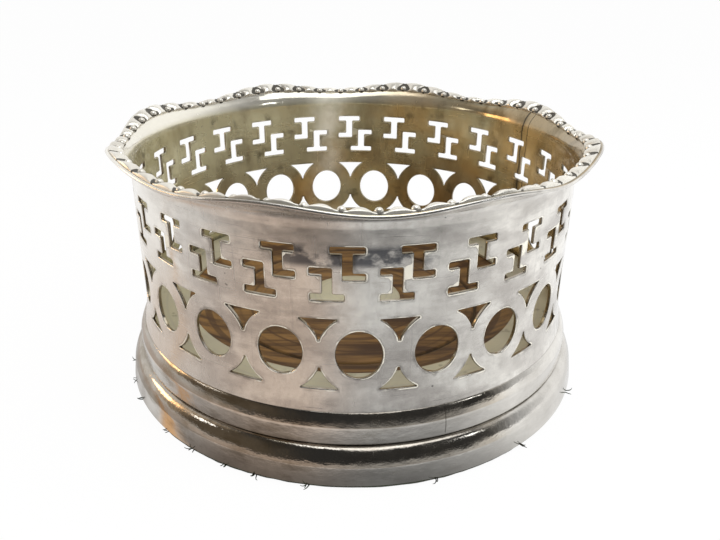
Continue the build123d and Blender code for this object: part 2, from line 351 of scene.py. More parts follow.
def ring_quads(rows, columns, wrap):
    """Quads of a grid whose columns go round, and whose rows also close on themselves where wrap is set."""
    row = np.arange(rows if wrap else rows - 1)[:, None]
    column = np.arange(columns)[None, :]
    above = (row + 1) % rows
    beside = (column + 1) % columns
    low, high = row * columns, above * columns
    return np.stack([low + column, low + beside, high + beside, high + column], axis=-1).reshape(-1, 4)


def turned(name, profile, segments, sway=0.0, marks=None):
    """Solid turned from a closed half profile of radius and height, a little out of round.

    A point is the profile's point at its parameter, carried round the axis by the angle; the radius also
    gets two slow sine waves of the angle."""
    angle = all_round(segments)
    wobble = sway * (np.sin(3 * angle + 0.7) + 0.6 * np.sin(5 * angle + 2.1))
    radius = profile[:, :1] + wobble[None, :]
    points = polar(angle[None, :], radius, profile[:, 1:]).reshape(-1, 3)
    marks = {key: np.repeat(value, segments) for key, value in (marks or {}).items()}
    return make_mesh(name, points, quads=ring_quads(len(profile), segments, True), marks=marks)


def capped(name, angle, radius, height, low, high):
    """Solid turned from an open half profile, which a point on the axis closes at each end.

    A point is the profile's radius and height at its parameter, carried round the axis by the angle."""
    points = polar(angle[None, :], radius, height)
    rows, columns = points.shape[:2]
    points = np.concatenate([points.reshape(-1, 3), [(0.0, 0.0, low), (0.0, 0.0, high)]])
    return make_mesh(name, points, end_fans(rows, columns), ring_quads(rows, columns, False))


def shoulder(start, base, reach, drop, part, steps=14):
    """Profile of a rounded shoulder from its top out and down to its base: the first part of a quarter
    ellipse, stretched to the reach and the drop, so that a small part ends on a slope."""
    share = np.linspace(0.0, part, steps)
    out = reach * np.sin(share) / math.sin(part)
    rise = drop * (np.cos(share) - math.cos(part)) / (1.0 - math.cos(part))
    return np.stack([start + out, base + rise], axis=-1)


class Sheet:
    """The gallery's sheet as a function of arc length round it, length up its side, and depth from outside.

    From below, the side is an arc that draws in to the wall, the straight wall, and an arc that flares
    out; a cosine of the angle lifts and pushes out the flare, more towards its edge."""

    def __init__(self, sizes, base):
        self.sizes = sizes
        self.base = base
        skirt_turn = 2 * math.atan2(sizes.skirt_reach, sizes.skirt)
        self.skirt_bend = sizes.skirt / math.sin(skirt_turn)
        self.skirt_length = self.skirt_bend * skirt_turn
        self.wall_length = sizes.wall - sizes.skirt
        self.flare_start = self.skirt_length + self.wall_length
        self.side = self.flare_start + sizes.bend * sizes.bend_turn
        self.girth = math.tau * sizes.radius

    def up_side(self, rise):
        """Length up the side of a height over the lower edge, on the straight wall."""
        return rise - self.sizes.skirt + self.skirt_length

    def flare(self, angle, bend, depth):
        """Radius and height of the flare, at a turn of its bend."""
        s = self.sizes
        wave = (bend / s.bend_turn) ** 2 * np.cos(s.waves * (angle - s.crest))
        reach = s.bend * (1 - np.cos(bend)) - depth * np.cos(bend) + s.wave_reach * wave
        rise = (s.bend + depth) * np.sin(bend) + s.wave_rise * wave
        return s.radius + reach, self.base + s.wall + rise

    def points(self, across, up, depth):
        """Points of the sheet, which three slow sine waves of the angle and the rise dent a little."""
        s = self.sizes
        angle = across / s.radius
        skirt = np.clip(self.skirt_length - up, 0.0, None) / self.skirt_bend
        bend = np.clip(up - self.flare_start, 0.0, None) / s.bend
        wall = np.clip(up - self.skirt_length, 0.0, self.wall_length)
        radius, height = self.flare(angle, bend, depth)
        radius = radius + self.skirt_bend * (1 - np.cos(skirt)) + depth * (1 - np.cos(skirt))
        height = height - s.wall + s.skirt + wall - (self.skirt_bend + depth) * np.sin(skirt)
        calm = smooth_step(0.0, s.skirt, up) * smooth_step(0.0, s.skirt, self.side - up)
        rise = up / s.wall
        dent = np.sin(5 * angle + 5 * rise) + 0.7 * np.sin(11 * angle + 1.3 - 7.5 * rise)
        dent = dent + 0.5 * np.sin(23 * angle + 0.4)
        radius = radius + s.dent * calm * dent / 2
        return polar(angle, radius, np.maximum(height, self.base))

    def normals(self, across, up, depth):
        """Directions out of the outside of the sheet, from small steps along it."""
        side = self.points(across + PROBE, up, depth) - self.points(across - PROBE, up, depth)
        under = np.maximum(up - PROBE, 0.0)
        rise = self.points(across, up + PROBE, depth) - self.points(across, under, depth)
        return unit(np.cross(side, rise))

    def towards(self, across, up, depth, direction):
        """Directions on the sheet that a flat direction on its unrolled form becomes."""
        move = self.points(across + PROBE * direction[:, 0], up + PROBE * direction[:, 1], depth)
        return unit(move - self.points(across, up, depth))


def unit(vectors):
    """Vectors of length one."""
    return vectors / np.maximum(np.linalg.norm(vectors, axis=-1, keepdims=True), TINY)


def oval_outline(sizes):
    """Oval opening round its own middle."""
    share = all_round(52)
    return np.stack([sizes.oval_width / 2 * np.cos(share), sizes.oval_height / 2 * np.sin(share)], axis=-1)


def corner_outline(sizes):
    """Three-cornered opening over the gap between two ovals, with sides that follow their rings."""
    half_pitch = sizes.radius * math.sin(math.pi / sizes.ovals)
    rise = np.linspace(sizes.corner_tip, sizes.corner_reach, 12)
    ring_height = sizes.oval_height / 2 + sizes.ring
    side = half_pitch - (sizes.oval_width / 2 + sizes.ring) * np.sqrt(1 - (rise / ring_height) ** 2)
    narrowest, worn_corner = 0.25 * MM, 0.3 * MM
    side = np.maximum(side, narrowest)
    right = np.stack([side, rise], axis=-1)
    left = np.stack([-side, rise], axis=-1)[::-1]
    return filled(rounded(np.concatenate([right, left]), worn_corner), OUTLINE_STEP)


def key_outline(sizes):
    """Upper opening of a key pair: full bar over a stem, with a short bar to the right below."""
    top = sizes.key_height / 2
    half_bar = sizes.key_bar / 2
    half_stem = sizes.key_stem / 2
    under = top - sizes.key_stroke
    serif = sizes.key_serif
    corners = np.array([
        (-half_bar, top), (-half_bar, under), (-half_stem, under), (-half_stem, -top), (serif, -top),
        (serif, -under), (half_stem, -under), (half_stem, under), (half_bar, under), (half_bar, top),
    ])
    worn_corner = 0.42 * MM
    return filled(rounded(corners, worn_corner), OUTLINE_STEP)


def openings(sheet):
    """Outlines of all openings on the unrolled sheet, each in its place and counted the same way round."""
    s = sheet.sizes
    shapes = []
    oval = oval_outline(s)
    corner = corner_outline(s)
    key = key_outline(s)
    row = sheet.up_side(s.oval_rise)
    for index in range(s.ovals):
        angle = s.oval_angle + math.tau * index / s.ovals
        between = angle + math.pi / s.ovals
        shapes += [(oval, angle, row), (corner, between, row), (-corner, between, row)]
    half_shift = s.key_shift / s.radius / 2
    for index in range(s.keys):
        swing = math.tau * index / s.keys
        angle = s.key_angle + swing - s.key_drift * math.sin(swing) + s.key_lag * (1 - math.cos(swing))
        shapes += [
            (key, angle + half_shift, row + s.key_rise + s.key_drop / 2),
            (-key, angle - half_shift, row + s.key_rise - s.key_drop / 2),
        ]
    placed = []
    for outline, angle, up in shapes:
        across = s.radius * (np.arcsin(outline[:, 0] / s.radius) + angle % math.tau)
        placed.append(facing(np.stack([across, outline[:, 1] + up], axis=-1)))
    return placed


def outward(outline):
    """Flat directions out of a closed outline."""
    along = np.roll(outline, -1, axis=0) - np.roll(outline, 1, axis=0)
    return unit(np.stack([along[:, 1], -along[:, 0]], axis=-1))


def inside(points, outline):
    """Which flat points lie in a closed outline, by counting the sides that each one's level line crosses."""
    found = np.zeros(len(points), dtype=bool)
    near = np.all((points >= outline.min(axis=0)) & (points <= outline.max(axis=0)), axis=1).nonzero()[0]
    x, y = points[near, :1], points[near, 1:]
    ax, ay = outline[:, 0], outline[:, 1]
    bx, by = np.roll(ax, -1), np.roll(ay, -1)
    spans = (ay > y) != (by > y)
    rise = np.where(by == ay, TINY, by - ay)
    left = x < ax + (y - ay) * (bx - ax) / rise
    found[near] = np.sum(spans & left, axis=1) % 2 == 1
    return found


def sheet_plan(sheet):
    """Flat triangles of the unrolled sheet with its openings left out.

    Returns the points, the triangles, and for each opening the indices of its points, its own outline
    and the flat directions out of it. The plan closes on itself round the girth."""
    s = sheet.sizes
    columns = round(sheet.girth / s.cell)
    rows = np.concatenate([
        np.linspace(0.0, sheet.skirt_length, 6)[:-1],
        np.linspace(sheet.skirt_length, sheet.flare_start, round(sheet.wall_length / s.cell))[:-1],
        np.linspace(sheet.flare_start, sheet.side, 11),
    ])
    across = np.arange(columns)[None, :] * sheet.girth / columns + 0.25 * s.cell
    grid = np.stack(np.broadcast_arrays(across, rows[:, None]), axis=-1)
    shake = np.random.default_rng(11).uniform(-0.1, 0.1, grid.shape) * s.cell
    shake[[0, -1], :, 1] = 0.0
    grid = (grid + shake).reshape(-1, 2)
    own = openings(sheet)
    ways = [outward(outline) for outline in own]
    worn = [outline + s.edge * way for outline, way in zip(own, ways)]
    shifts = (-sheet.girth, 0.0, sheet.girth)
    margin = 0.45 * s.cell
    free = np.ones(len(grid), dtype=bool)
    for outline, way in zip(worn, ways):
        for shift in shifts:
            free &= ~inside(grid, outline + margin * way + [shift, 0.0])
    grid = grid[free]
    points = np.concatenate([grid, *worn])
    starts = len(grid) + np.concatenate([[0], np.cumsum([len(o) for o in worn])])
    loops = [np.arange(starts[i], starts[i + 1]) for i in range(len(worn))]
    sides = np.concatenate([np.stack([loop, np.roll(loop, -1)], axis=-1) for loop in loops])
    total = len(points)
    copies = np.concatenate([points + [shift, 0.0] for shift in shifts])
    sides = np.concatenate([sides, sides + total, sides + 2 * total])
    overlap = 20 * MM
    used = (copies[:, 0] > -overlap) & (copies[:, 0] < sheet.girth + overlap)
    whole = used[sides].all(axis=1)
    number = np.cumsum(used) - 1
    home = np.tile(np.arange(total), 3)[used]
    flat = [Vector(point) for point in (copies[used] / MM).tolist()]
    _, _, faces, origins, _, _ = delaunay_2d_cdt(flat, number[sides[whole]].tolist(), [], 0, 1e-6)
    source = np.array([ids[0] for ids in origins])
    placed = copies[used][source]
    triangles = np.array(faces)
    middle = placed[triangles].mean(axis=1)
    keep = (middle[:, 0] >= 0.0) & (middle[:, 0] < sheet.girth)
    for outline in worn:
        for shift in shifts:
            keep &= ~inside(middle, outline + [shift, 0.0])
    triangles = home[source[triangles[keep]]]
    return points, triangles, loops, np.concatenate(own), np.concatenate(ways)


def gallery_piece(sizes, base):
    """Pierced gallery: the plan's triangles on the outside and the inside of the sheet, joined by
    rounded edges round each opening, a rounded lip at the top and a flat edge below."""
    sheet = Sheet(sizes, base)
    plan, triangles, loops, own, ways = sheet_plan(sheet)
    total = len(plan)
    across, up = plan[:, 0], plan[:, 1]
    ring = np.concatenate(loops)
    after = np.concatenate([np.roll(loop, -1) for loop in loops])
    step = after - ring[0]
    outer_wall = 2 * total + np.arange(len(ring))
    inner_wall = outer_wall + len(ring)
    edge = sizes.edge
    points = [sheet.points(across, up, 0.0), sheet.points(across, up, sizes.sheet)]
    for wall_depth in (edge, sizes.sheet - edge):
        points.append(sheet.points(own[:, 0], own[:, 1], wall_depth))
    outside = sheet.normals(across, up, 0.0)
    within = sheet.towards(own[:, 0], own[:, 1], edge, -ways)
    normals = [outside, -outside, within, within]
    # The mark inside is 0 outside and 1 inside, and lies between them on the cut walls and the lip
    depth = [np.zeros(total), np.ones(total), np.full(len(ring), 0.15), np.full(len(ring), 0.6)]
    quads = [
        np.stack([ring, after, outer_wall[step], outer_wall], axis=-1),
        np.stack([outer_wall, outer_wall[step], inner_wall[step], inner_wall], axis=-1),
        np.stack([inner_wall, inner_wall[step], total + after, total + ring], axis=-1),
    ]
    top = np.nonzero(up > sheet.side - ON_EDGE)[0]
    top = top[np.argsort(across[top])]
    foot = np.nonzero(up < ON_EDGE)[0]
    foot = foot[np.argsort(across[foot])]
    quads.append(np.stack([np.roll(foot, -1), foot, total + foot, total + np.roll(foot, -1)], axis=-1))
    lip = [top]
    start = 2 * total + 2 * len(ring)
    half = sizes.sheet / 2
    for share in (0.25, 0.5, 0.75):
        round_off = math.pi * share
        lip_up = up[top] + half * math.sin(round_off)
        lip_depth = half - half * math.cos(round_off)
        points.append(sheet.points(across[top], lip_up, lip_depth))
        onward = sheet.towards(across[top], up[top], half, np.tile([0.0, 1.0], (len(top), 1)))
        normals.append(unit(math.cos(round_off) * outside[top] + math.sin(round_off) * onward))
        depth.append(np.full(len(top), 0.3))
        lip.append(start + np.arange(len(top)))
        start += len(top)
    lip.append(total + top)
    for low, high in zip(lip, lip[1:]):
        quads.append(np.stack([low, np.roll(low, -1), np.roll(high, -1), high], axis=-1))
    points = np.concatenate(points)
    walls = 2 * len(ring)
    lips = len(points) - 2 * total - walls
    flare = smooth_step(sheet.flare_start - 2 * MM, sheet.side, up)
    rim = np.concatenate([flare, flare, np.zeros(walls), np.ones(lips)])
    # Mark for the cut walls, which get brown tarnish and painted shade.
    cut_wall_tarnish_and_shade = np.repeat([0.0, 1.0, 0.0], [2 * total, walls, lips])
    cut = np.zeros(len(points))
    cut[np.concatenate([ring, total + ring])] = 1.0
    return make_mesh(
        "gallery", points, np.concatenate([triangles, triangles[:, ::-1] + total]), np.concatenate(quads),
        np.concatenate(normals), {"inside": np.concatenate(depth), "rim": rim, "cut": cut, "cut_wall_tarnish_and_shade": cut_wall_tarnish_and_shade},
    )


def dome(share):
    """Rise of a quarter circle over a share from 0 to 1."""
    return np.sqrt(1.0 - (1.0 - np.clip(share, 0.0, 1.0)) ** 2)


def border_relief(sizes, pitch, beside, width):
    """Height of the border over its underside, and how far a point lies in a hollow.

    Lobes stand between the hollows, with the section of a flattened half oval across and a round end on
    both sides of the border; a hollow is an eye that is widest near its inner end and pointed outwards."""
    widest = 0.28  # share of the width at which a hollow is widest
    tip = 0.14  # outer end of a hollow, as a share of its widest part
    past = 0.06  # share of the width by which the round ends of the lobes start past the edges
    rim = 0.06  # share of the width over which the edges are rounded
    inner = smooth_step(-0.24, 0.14, width)
    outer = np.clip((width - widest) / (1.0 - widest), 0.0, 1.0) ** 1.3
    swell = inner * (1.0 - outer)
    room = sizes.hollow_tip + (sizes.hollow - sizes.hollow_tip) * swell
    across = np.clip((pitch / 2 - beside) / (pitch / 2 - room), 0.0, 1.0)
    body = (1.0 - across**2) ** 0.7
    ends = dome((width + past) / 0.34) * dome((1.0 + past - width) / 0.62)
    eye = sizes.hollow * (tip + (1.0 - tip) * swell)
    hollow = smooth_step(1.15, 0.85, beside / eye) * smooth_step(0.0, 0.08, width)
    edges = dome(np.minimum(width, 1.0 - width) / rim + 0.1)
    return sizes.edge * edges * (1.0 - 0.5 * hollow) + sizes.crown * body * ends, hollow


def ball_grid(rows, columns):
    """Unit ball: its points, its quads and its end triangles, with faces outwards."""
    fall = np.linspace(0.0, np.pi, rows + 2)[1:-1, None]
    angle = all_round(columns)[None, :]
    points = polar(angle, np.sin(fall), -np.cos(fall)).reshape(-1, 3)
    points = np.concatenate([points, [(0.0, 0.0, -1.0), (0.0, 0.0, 1.0)]])
    return points, ring_quads(rows, columns, False), end_fans(rows, columns)


def end_fans(rows, columns):
    """Triangles that close the first and the last row of a ring grid on two points added after it."""
    first = np.arange(columns)
    last = (rows - 1) * columns + first
    return np.concatenate([
        np.stack([np.full(columns, rows * columns), np.roll(first, -1), first], axis=-1),
        np.stack([np.full(columns, rows * columns + 1), last, np.roll(last, -1)], axis=-1),
    ])


def border_piece(name, sheet, sizes, first):
    """One soldered piece of the border: a closed band over the flare, with beads in its hollows.

    The top is the border's relief over the flare as a function of the angle and the width, the underside
    follows the flare, and a bead stands near the inner end of each hollow."""
    span = math.tau / sizes.pieces
    pitch = span / sizes.lobes
    lobe_steps, width_steps, under_steps, bead_rows, bead_columns = 30, 29, 7, 9, 16
    angle = sizes.lobe_angle + first * span + np.linspace(0.0, span, sizes.lobes * lobe_steps + 1)[:, None]
    width = np.linspace(0.0, 1.0, width_steps)[None, :]
    lobe = (angle - sizes.lobe_angle) / pitch
    beside = np.abs(lobe - np.floor(lobe) - 0.5) * pitch * sheet.sizes.radius
    lift, hollow = border_relief(sizes, pitch * sheet.sizes.radius, beside, width)
    base = sheet.sizes.sheet + sizes.gap
    bend = sizes.start + (sizes.end - sizes.start) * width
    upper = np.stack(sheet.flare(angle, bend, base + lift), axis=-1)
    under_bend = sizes.start + (sizes.end - sizes.start) * np.linspace(1.0, 0.0, under_steps)[None, :]
    under = np.stack(sheet.flare(angle, under_bend, base), axis=-1)
    band = np.concatenate([upper, under], axis=1)
    points = polar(angle, band[..., 0], band[..., 1])
    rows, columns = points.shape[:2]
    ends = [points[0].mean(axis=0), points[-1].mean(axis=0)]
    points = np.concatenate([points.reshape(-1, 3), ends])
    dirt = np.concatenate([hollow, np.zeros_like(under[..., 0])], axis=1)
    dirt = np.concatenate([dirt.ravel(), [0.0, 0.0]])
    ball, ball_quads, ball_fans = ball_grid(bead_rows, bead_columns)
    middles = sizes.lobe_angle + first * span + (np.arange(sizes.lobes) + 0.5) * pitch
    seats = polar(middles, *sheet.flare(middles, sizes.bead_turn, base + sizes.bead_lift))
    shift = len(points) + len(ball) * np.arange(sizes.lobes)[:, None, None]
    points = np.concatenate([points, (seats[:, None] + sizes.bead * ball[None]).reshape(-1, 3)])
    quads = np.concatenate([ring_quads(rows, columns, False), (ball_quads[None] + shift).reshape(-1, 4)])
    fans = np.concatenate([end_fans(rows, columns), (ball_fans[None] + shift).reshape(-1, 3)])
    # The lower half of each bead carries the hollow mark: painted shade under the bead.
    low = np.tile(smooth_step(0.25, -0.55, ball[:, 2]), sizes.lobes)
    return make_mesh(name, points, fans, quads, marks={"hollow": np.concatenate([dirt, low])})


def foot_profile(sizes, foot_z):
    """Half profile of the stepped foot, from the collar down over both shoulders and back up inside."""
    seat_z = foot_z + sizes.height
    ledge_z = seat_z + sizes.collar
    upper_z = seat_z - sizes.upper_drop
    groove_z = foot_z + sizes.step
    lower_z = groove_z - sizes.lower_drop
    upper_radius = sizes.upper_start + sizes.upper_reach
    groove_radius = upper_radius - sizes.groove
    lower_radius = groove_radius + sizes.lower_reach
    foot_radius = lower_radius + sizes.spread
    thick = sizes.sheet
    neck = groove_radius - thick
    low = foot_z + thick
    lip = foot_radius - sizes.lip
    reach, drop = sizes.lower_reach - thick, sizes.lower_drop - thick
    inner = shoulder(groove_radius, lower_z, reach, drop, np.pi / 2)[::-1]
    return np.concatenate([
        [(sizes.collar_radius, ledge_z), (sizes.collar_radius, seat_z)],
        shoulder(sizes.upper_start, upper_z, sizes.upper_reach, sizes.upper_drop, sizes.upper_part),
        [(upper_radius, groove_z + sizes.groove)],
        shoulder(groove_radius, lower_z, sizes.lower_reach, sizes.lower_drop, sizes.lower_part),
        [(foot_radius, foot_z), (lip, foot_z), (lip, low), (foot_radius - thick, low)],
        inner,
        [(neck, groove_z - thick), (neck, seat_z - thick), (sizes.collar_radius - thick, seat_z - thick),
         (sizes.collar_radius - thick, ledge_z)],
    ])


def crease_at(profile, radius, height, width):
    """How near a profile's points are to a crease: a bell curve of the distance."""
    off = np.linalg.norm(profile - np.array((radius, height)), axis=1)
    return np.exp(-((off / width) ** 2))


def foot_piece(sizes, foot_z):
    """Stepped foot: its profile carried round the axis, with marks for dirt and painted shade in the groove
    and at the seat, and for painted dark reflections on the parts that lean back, which are the shoulders."""
    longest_side = 0.5 * MM
    profile = facing(rounded(filled(foot_profile(sizes, foot_z), longest_side), sizes.worn))
    seat_z = foot_z + sizes.height
    groove_radius = sizes.upper_start + sizes.upper_reach - sizes.groove
    # Dirt and painted shade gather in the groove between the steps and at the seat of the gallery.
    groove = crease_at(profile, groove_radius, foot_z + sizes.step, 0.45 * MM)
    seat = crease_at(profile, sizes.upper_start, seat_z, 0.40 * MM)
    along = np.roll(profile, -1, axis=0) - np.roll(profile, 1, axis=0)
    lean = np.arctan2(-along[:, 0], along[:, 1])
    below_seat = profile[:, 1] < seat_z - 0.1 * MM
    # Painted dark reflection on the shoulders, below the seat.
    painted_dark_reflection = smooth_step(0.10, 0.32, lean) * smooth_step(1.45, 1.25, lean) * below_seat
    marks = {"crease": np.maximum(groove, seat), "painted_dark_reflection": painted_dark_reflection}
    return turned("foot", profile, segments=320, sway=0.03 * MM, marks=marks)


def ring_piece(sizes):
    """Plated ring of the floor: a flat bar with worn corners, carried round the axis."""
    low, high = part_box("floor_ring")
    lap, worn_corner, longest_side = 0.6 * MM, 0.25 * MM, 1.5 * MM
    inner = sizes.dish_radius - lap
    corners = np.array([(inner, low.z), (high.x, low.z), (high.x, high.z), (inner, high.z)])
    profile = facing(filled(rounded(corners, worn_corner), longest_side))
    return turned("floor_ring_plate", profile, segments=280)


def base_profile(sizes, foot, foot_z):
    """Half profile of the turned wood: hollowed top with a groove, stepped edge, recess below."""
    low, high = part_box("wooden_base")
    washer_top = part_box("boss_washer")[1].z
    hole = sizes.stud / 2 + sizes.stud_room
    recess = sizes.washer / 2 + sizes.recess
    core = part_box("foot_moulding")[1].x - foot.lip - sizes.clearance
    flange_top = foot_z + foot.step - foot.lower_drop - sizes.clearance
    upper = foot.collar_radius - foot.sheet - sizes.clearance
    top = high.z
    floor = top - sizes.dish_depth
    half = sizes.groove / 2
    outer = sizes.floor_radius + half
    share = np.linspace(0.0, 1.0, 16)
    dish = sizes.dish_radius
    slope = np.stack([dish + (outer - dish) * share, top + (floor - top) * share], axis=-1)
    slope += 4 * (share * (1 - share))[:, None] * sizes.dish_sag * np.array([0.7, -0.7])
    middle = np.linspace(sizes.floor_radius - half, hole, 26)
    level = np.stack([middle, np.full_like(middle, floor)], axis=-1)
    return np.concatenate([
        [(hole, washer_top), (recess, washer_top), (recess, low.z), (core, low.z), (core, low.z + foot.sheet),
         (high.x, low.z + foot.sheet), (high.x, flange_top), (upper, flange_top), (upper, top)],
        slope,
        [(sizes.floor_radius, floor - sizes.groove_depth)],
        level,
    ])


def base_piece(sizes, foot):
    """Turned wood: its profile carried round the axis, with a mark that darkens the groove."""
    worn_corner = 0.3 * MM
    profile = facing(rounded(base_profile(sizes, foot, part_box("foot_moulding")[0].z), worn_corner))
    groove_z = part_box("wooden_base")[1].z - sizes.dish_depth - sizes.groove_depth
    crease = crease_at(profile, sizes.floor_radius, groove_z, 0.7 * MM)
    return turned("turned_base", profile, segments=280, marks={"crease": crease})


def boss_piece(sizes):
    """Low domed boss on its stud: a half profile from the stud's end out and up over a quarter ellipse to
    the top, carried round the axis, with one point at each end."""
    low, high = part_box("centre_boss")
    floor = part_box("wooden_base")[1].z - sizes.dish_depth
    stud = sizes.stud / 2
    share = np.linspace(0.0, np.pi / 2, 22)[:-1]
    edge = floor + sizes.boss_edge
    crown = np.stack([high.x * np.cos(share), edge + (high.z - edge) * np.sin(share)], axis=-1)
    chamfer = 0.2 * MM
    stem = [(0.8 * stud, low.z), (stud, low.z + chamfer), (stud, floor), (high.x, floor)]
    profile = np.concatenate([stem, crown])
    piece = capped("boss", all_round(160), profile[:, :1], profile[:, 1:], low.z, high.z)
    piece.data.set_sharp_from_angle(angle=math.radians(40))
    return piece


def baize_piece():
    """Felt disc: its two faces and rounded edge are an open profile carried round the axis, with a point in
    the middle of each face. The edge wanders in and out, and the underside is slightly uneven."""
    low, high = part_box("baize_pad")
    angle = all_round(240)
    flat_end = 0.97
    inner = np.linspace(0.03, flat_end, 30)
    thick = high.z - low.z
    bulge = np.linspace(-np.pi / 2, np.pi / 2, 7)
    bulge_reach = 0.015
    edge = np.stack([1.0 - bulge_reach + bulge_reach * np.cos(bulge), 0.5 + 0.5 * np.sin(bulge)], axis=-1)
    under = np.stack([inner, np.zeros_like(inner)], axis=-1)
    over = np.stack([inner[::-1], np.ones_like(inner)], axis=-1)
    profile = np.concatenate([under, edge, over])
    shake = np.random.default_rng(5).normal(0.0, 1.0, len(angle))
    wander = 1.0 + 0.0012 * np.sin(7 * angle) + 0.0008 * shake - 0.002
    reach = high.x * profile[:, :1] * np.where(profile[:, :1] > flat_end, wander[None, :], 1.0)
    uneven = 0.04 * thick * np.sin(9 * angle[None, :] + 14 * profile[:, :1]) * (profile[:, 1:] < 0.2)
    height = low.z + thick * profile[:, 1:] + np.abs(uneven)
    return capped("baize", angle, reach, height, low.z, high.z)


def fibre_piece(sizes):
    """Loose fibres at the edge of the baize: three-sided tapering strands along short curves that leave
    the edge of the felt in tufts, reach out past the foot and curl up or along it."""
    low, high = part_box("baize_pad")
    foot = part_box("foot_moulding")[1].x
    rng = np.random.default_rng(23)
    to_side = 1.3  # radians from the back to the last tuft on each side
    back = np.pi + np.linspace(-to_side, to_side, sizes.back) + rng.normal(0.0, 0.08, sizes.back)
    tuft = np.repeat(np.concatenate([sizes.front, back]), sizes.strands)
    number = len(tuft)
    strength = np.repeat(rng.uniform(0.25, 1.0, number // sizes.strands), sizes.strands)
    root = tuft + rng.normal(0.0, 0.006, number)
    reach = sizes.reach * strength * rng.uniform(0.45, 1.0, number)
    drift = strength * rng.normal(0.0, 0.024, number)
    rise = strength * rng.uniform(-0.1, 1.7, number) * MM
    share = np.linspace(0.0, 1.0, 8)[None, :]
    rooted = 1.2 * MM
    start = high.x - rooted
    out = start + (foot + reach[:, None] - start) * np.sin(share * np.pi / 2)
    height = low.z + 0.55 * (high.z - low.z) + rise[:, None] * share**2
    height = np.maximum(height, low.z + 0.6 * sizes.fibre)
    line = polar(root[:, None] + drift[:, None] * share**1.5, out, height)
    along = unit(np.gradient(line, axis=1))
    side = unit(np.cross(along, [0.0, 0.0, 1.0]))
    over = np.cross(along, side)
    taper = sizes.fibre / 2 * (1.0 - 0.7 * share)[..., None]
    corner = all_round(3)
    points = np.stack([line + taper * (math.cos(c) * side + math.sin(c) * over) for c in corner], axis=2)
    rows = points.shape[1]
    caps = np.array([[0, 2, 1], [3 * rows - 3, 3 * rows - 2, 3 * rows - 1]])
    shift = 3 * rows * np.arange(number)[:, None, None]
    return make_mesh(
        "baize_fibres", points.reshape(-1, 3), (caps[None] + shift).reshape(-1, 3),
        (ring_quads(rows, 3, False)[None] + shift).reshape(-1, 4),
    )


class Value:
    """Output of a node, which plain arithmetic turns into more nodes of its tree."""

    def __init__(self, graph, socket):
        self.graph = graph
        self.socket = socket

    def __add__(self, other):
        return self.graph.math("ADD", self, other)

    def __sub__(self, other):
        return self.graph.math("SUBTRACT", self, other)

    def __rsub__(self, other):
        return self.graph.math("SUBTRACT", other, self)

    def __mul__(self, other):
        return self.graph.math("MULTIPLY", self, other)

    def __truediv__(self, other):
        return self.graph.math("DIVIDE", self, other)

    def __abs__(self):
        return self.graph.math("ABSOLUTE", self)

    def __lt__(self, other):
        return self.graph.math("LESS_THAN", self, other)

    def __gt__(self, other):
        return self.graph.math("GREATER_THAN", self, other)


